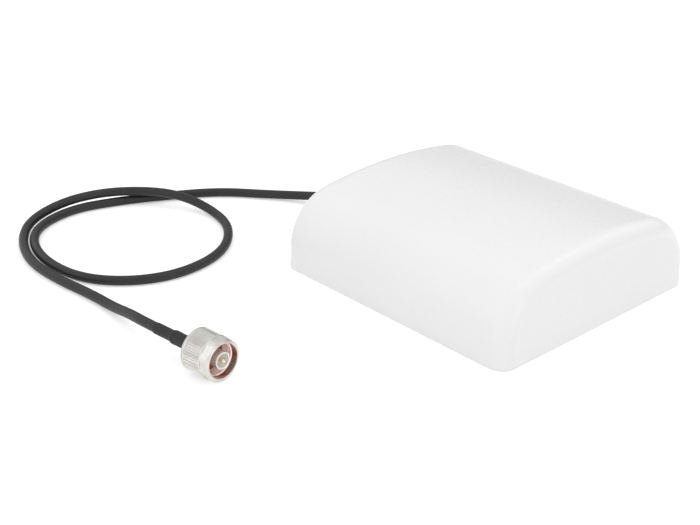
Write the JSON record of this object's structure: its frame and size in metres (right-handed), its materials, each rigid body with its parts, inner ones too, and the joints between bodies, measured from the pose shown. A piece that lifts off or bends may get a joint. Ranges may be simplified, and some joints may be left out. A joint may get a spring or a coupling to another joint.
{
  "type": "directional panel antenna",
  "caption": "Flat directional antenna with an arched white radome, a captive coaxial cable and a threaded coaxial plug; inserts in its back take a wall bracket.",
  "frame": {"origin": "middle of the back, on the surface that the antenna lies on", "axes": "+Z out of the arched face, +X along the arch, and the cable leaves at the -X end"},
  "size_m": [0.2889, 0.2438, 0.044],
  "materials": {
    "radome_plastic": "semi-matt white moulding",
    "cover_plastic": "semi-matt white moulding",
    "seal_rubber": "matt black rubber",
    "fixing_steel": "zinc-plated steel",
    "insert_brass": "machined brass",
    "sheet_aluminium": "plain sheet",
    "nylon": "natural nylon",
    "ptfe": "white fluoropolymer",
    "cable_jacket": "matt black jacket",
    "tinned_braid": "tinned copper braid",
    "copper": "bare copper wire",
    "heat_shrink": "matt black sleeve",
    "nickel_plate": "nickel-plated brass",
    "ring_bronze": "spring bronze",
    "pin_gold": "gold-plated",
    "plug_silicone": "red-brown silicone"
  },
  "bodies": {
    "antenna": {"radome": "radome_plastic", "back_cover": "cover_plastic", "cover_gasket": "seal_rubber", "cable_grommet": "seal_rubber", "cover_screws": "fixing_steel", "reflector_screws": "fixing_steel", "cable_clamp_screws": "fixing_steel", "bracket_inserts": "insert_brass", "feed_pin": "insert_brass", "ground_strap": "insert_brass", "strap_rivets": "insert_brass", "reflector": "sheet_aluminium", "driven_patch": "sheet_aluminium", "director_patch": "sheet_aluminium", "lower_standoffs": "nylon", "upper_standoffs": "nylon", "standoff_screws": "nylon", "director_screws": "nylon", "cable_clamp": "nylon", "feed_bush": "ptfe", "plug_insulator": "ptfe", "feed_dielectric": "ptfe", "cable_end_dielectric": "ptfe", "inner_cable": "cable_jacket", "cable": "cable_jacket", "feed_braid": "tinned_braid", "cable_end_braid": "tinned_braid", "feed_conductor": "copper", "cable_end_conductor": "copper", "heat_shrink_sleeve": "heat_shrink", "plug_body": "nickel_plate", "crimp_ferrule": "nickel_plate", "retaining_ring": "ring_bronze", "centre_pin": "pin_gold", "plug_gasket": "plug_silicone"},
    "plug_nut": {"coupling_nut": "nickel_plate"}
  },
  "joints": [
    {"name": "nut_spin", "type": "hinge", "parent": "antenna", "child": "plug_nut", "pos_m": [-0.01295, -0.16396, 0.01025], "axis": [0.9954, 0.0958, 0], "continuous": true}
  ]
}
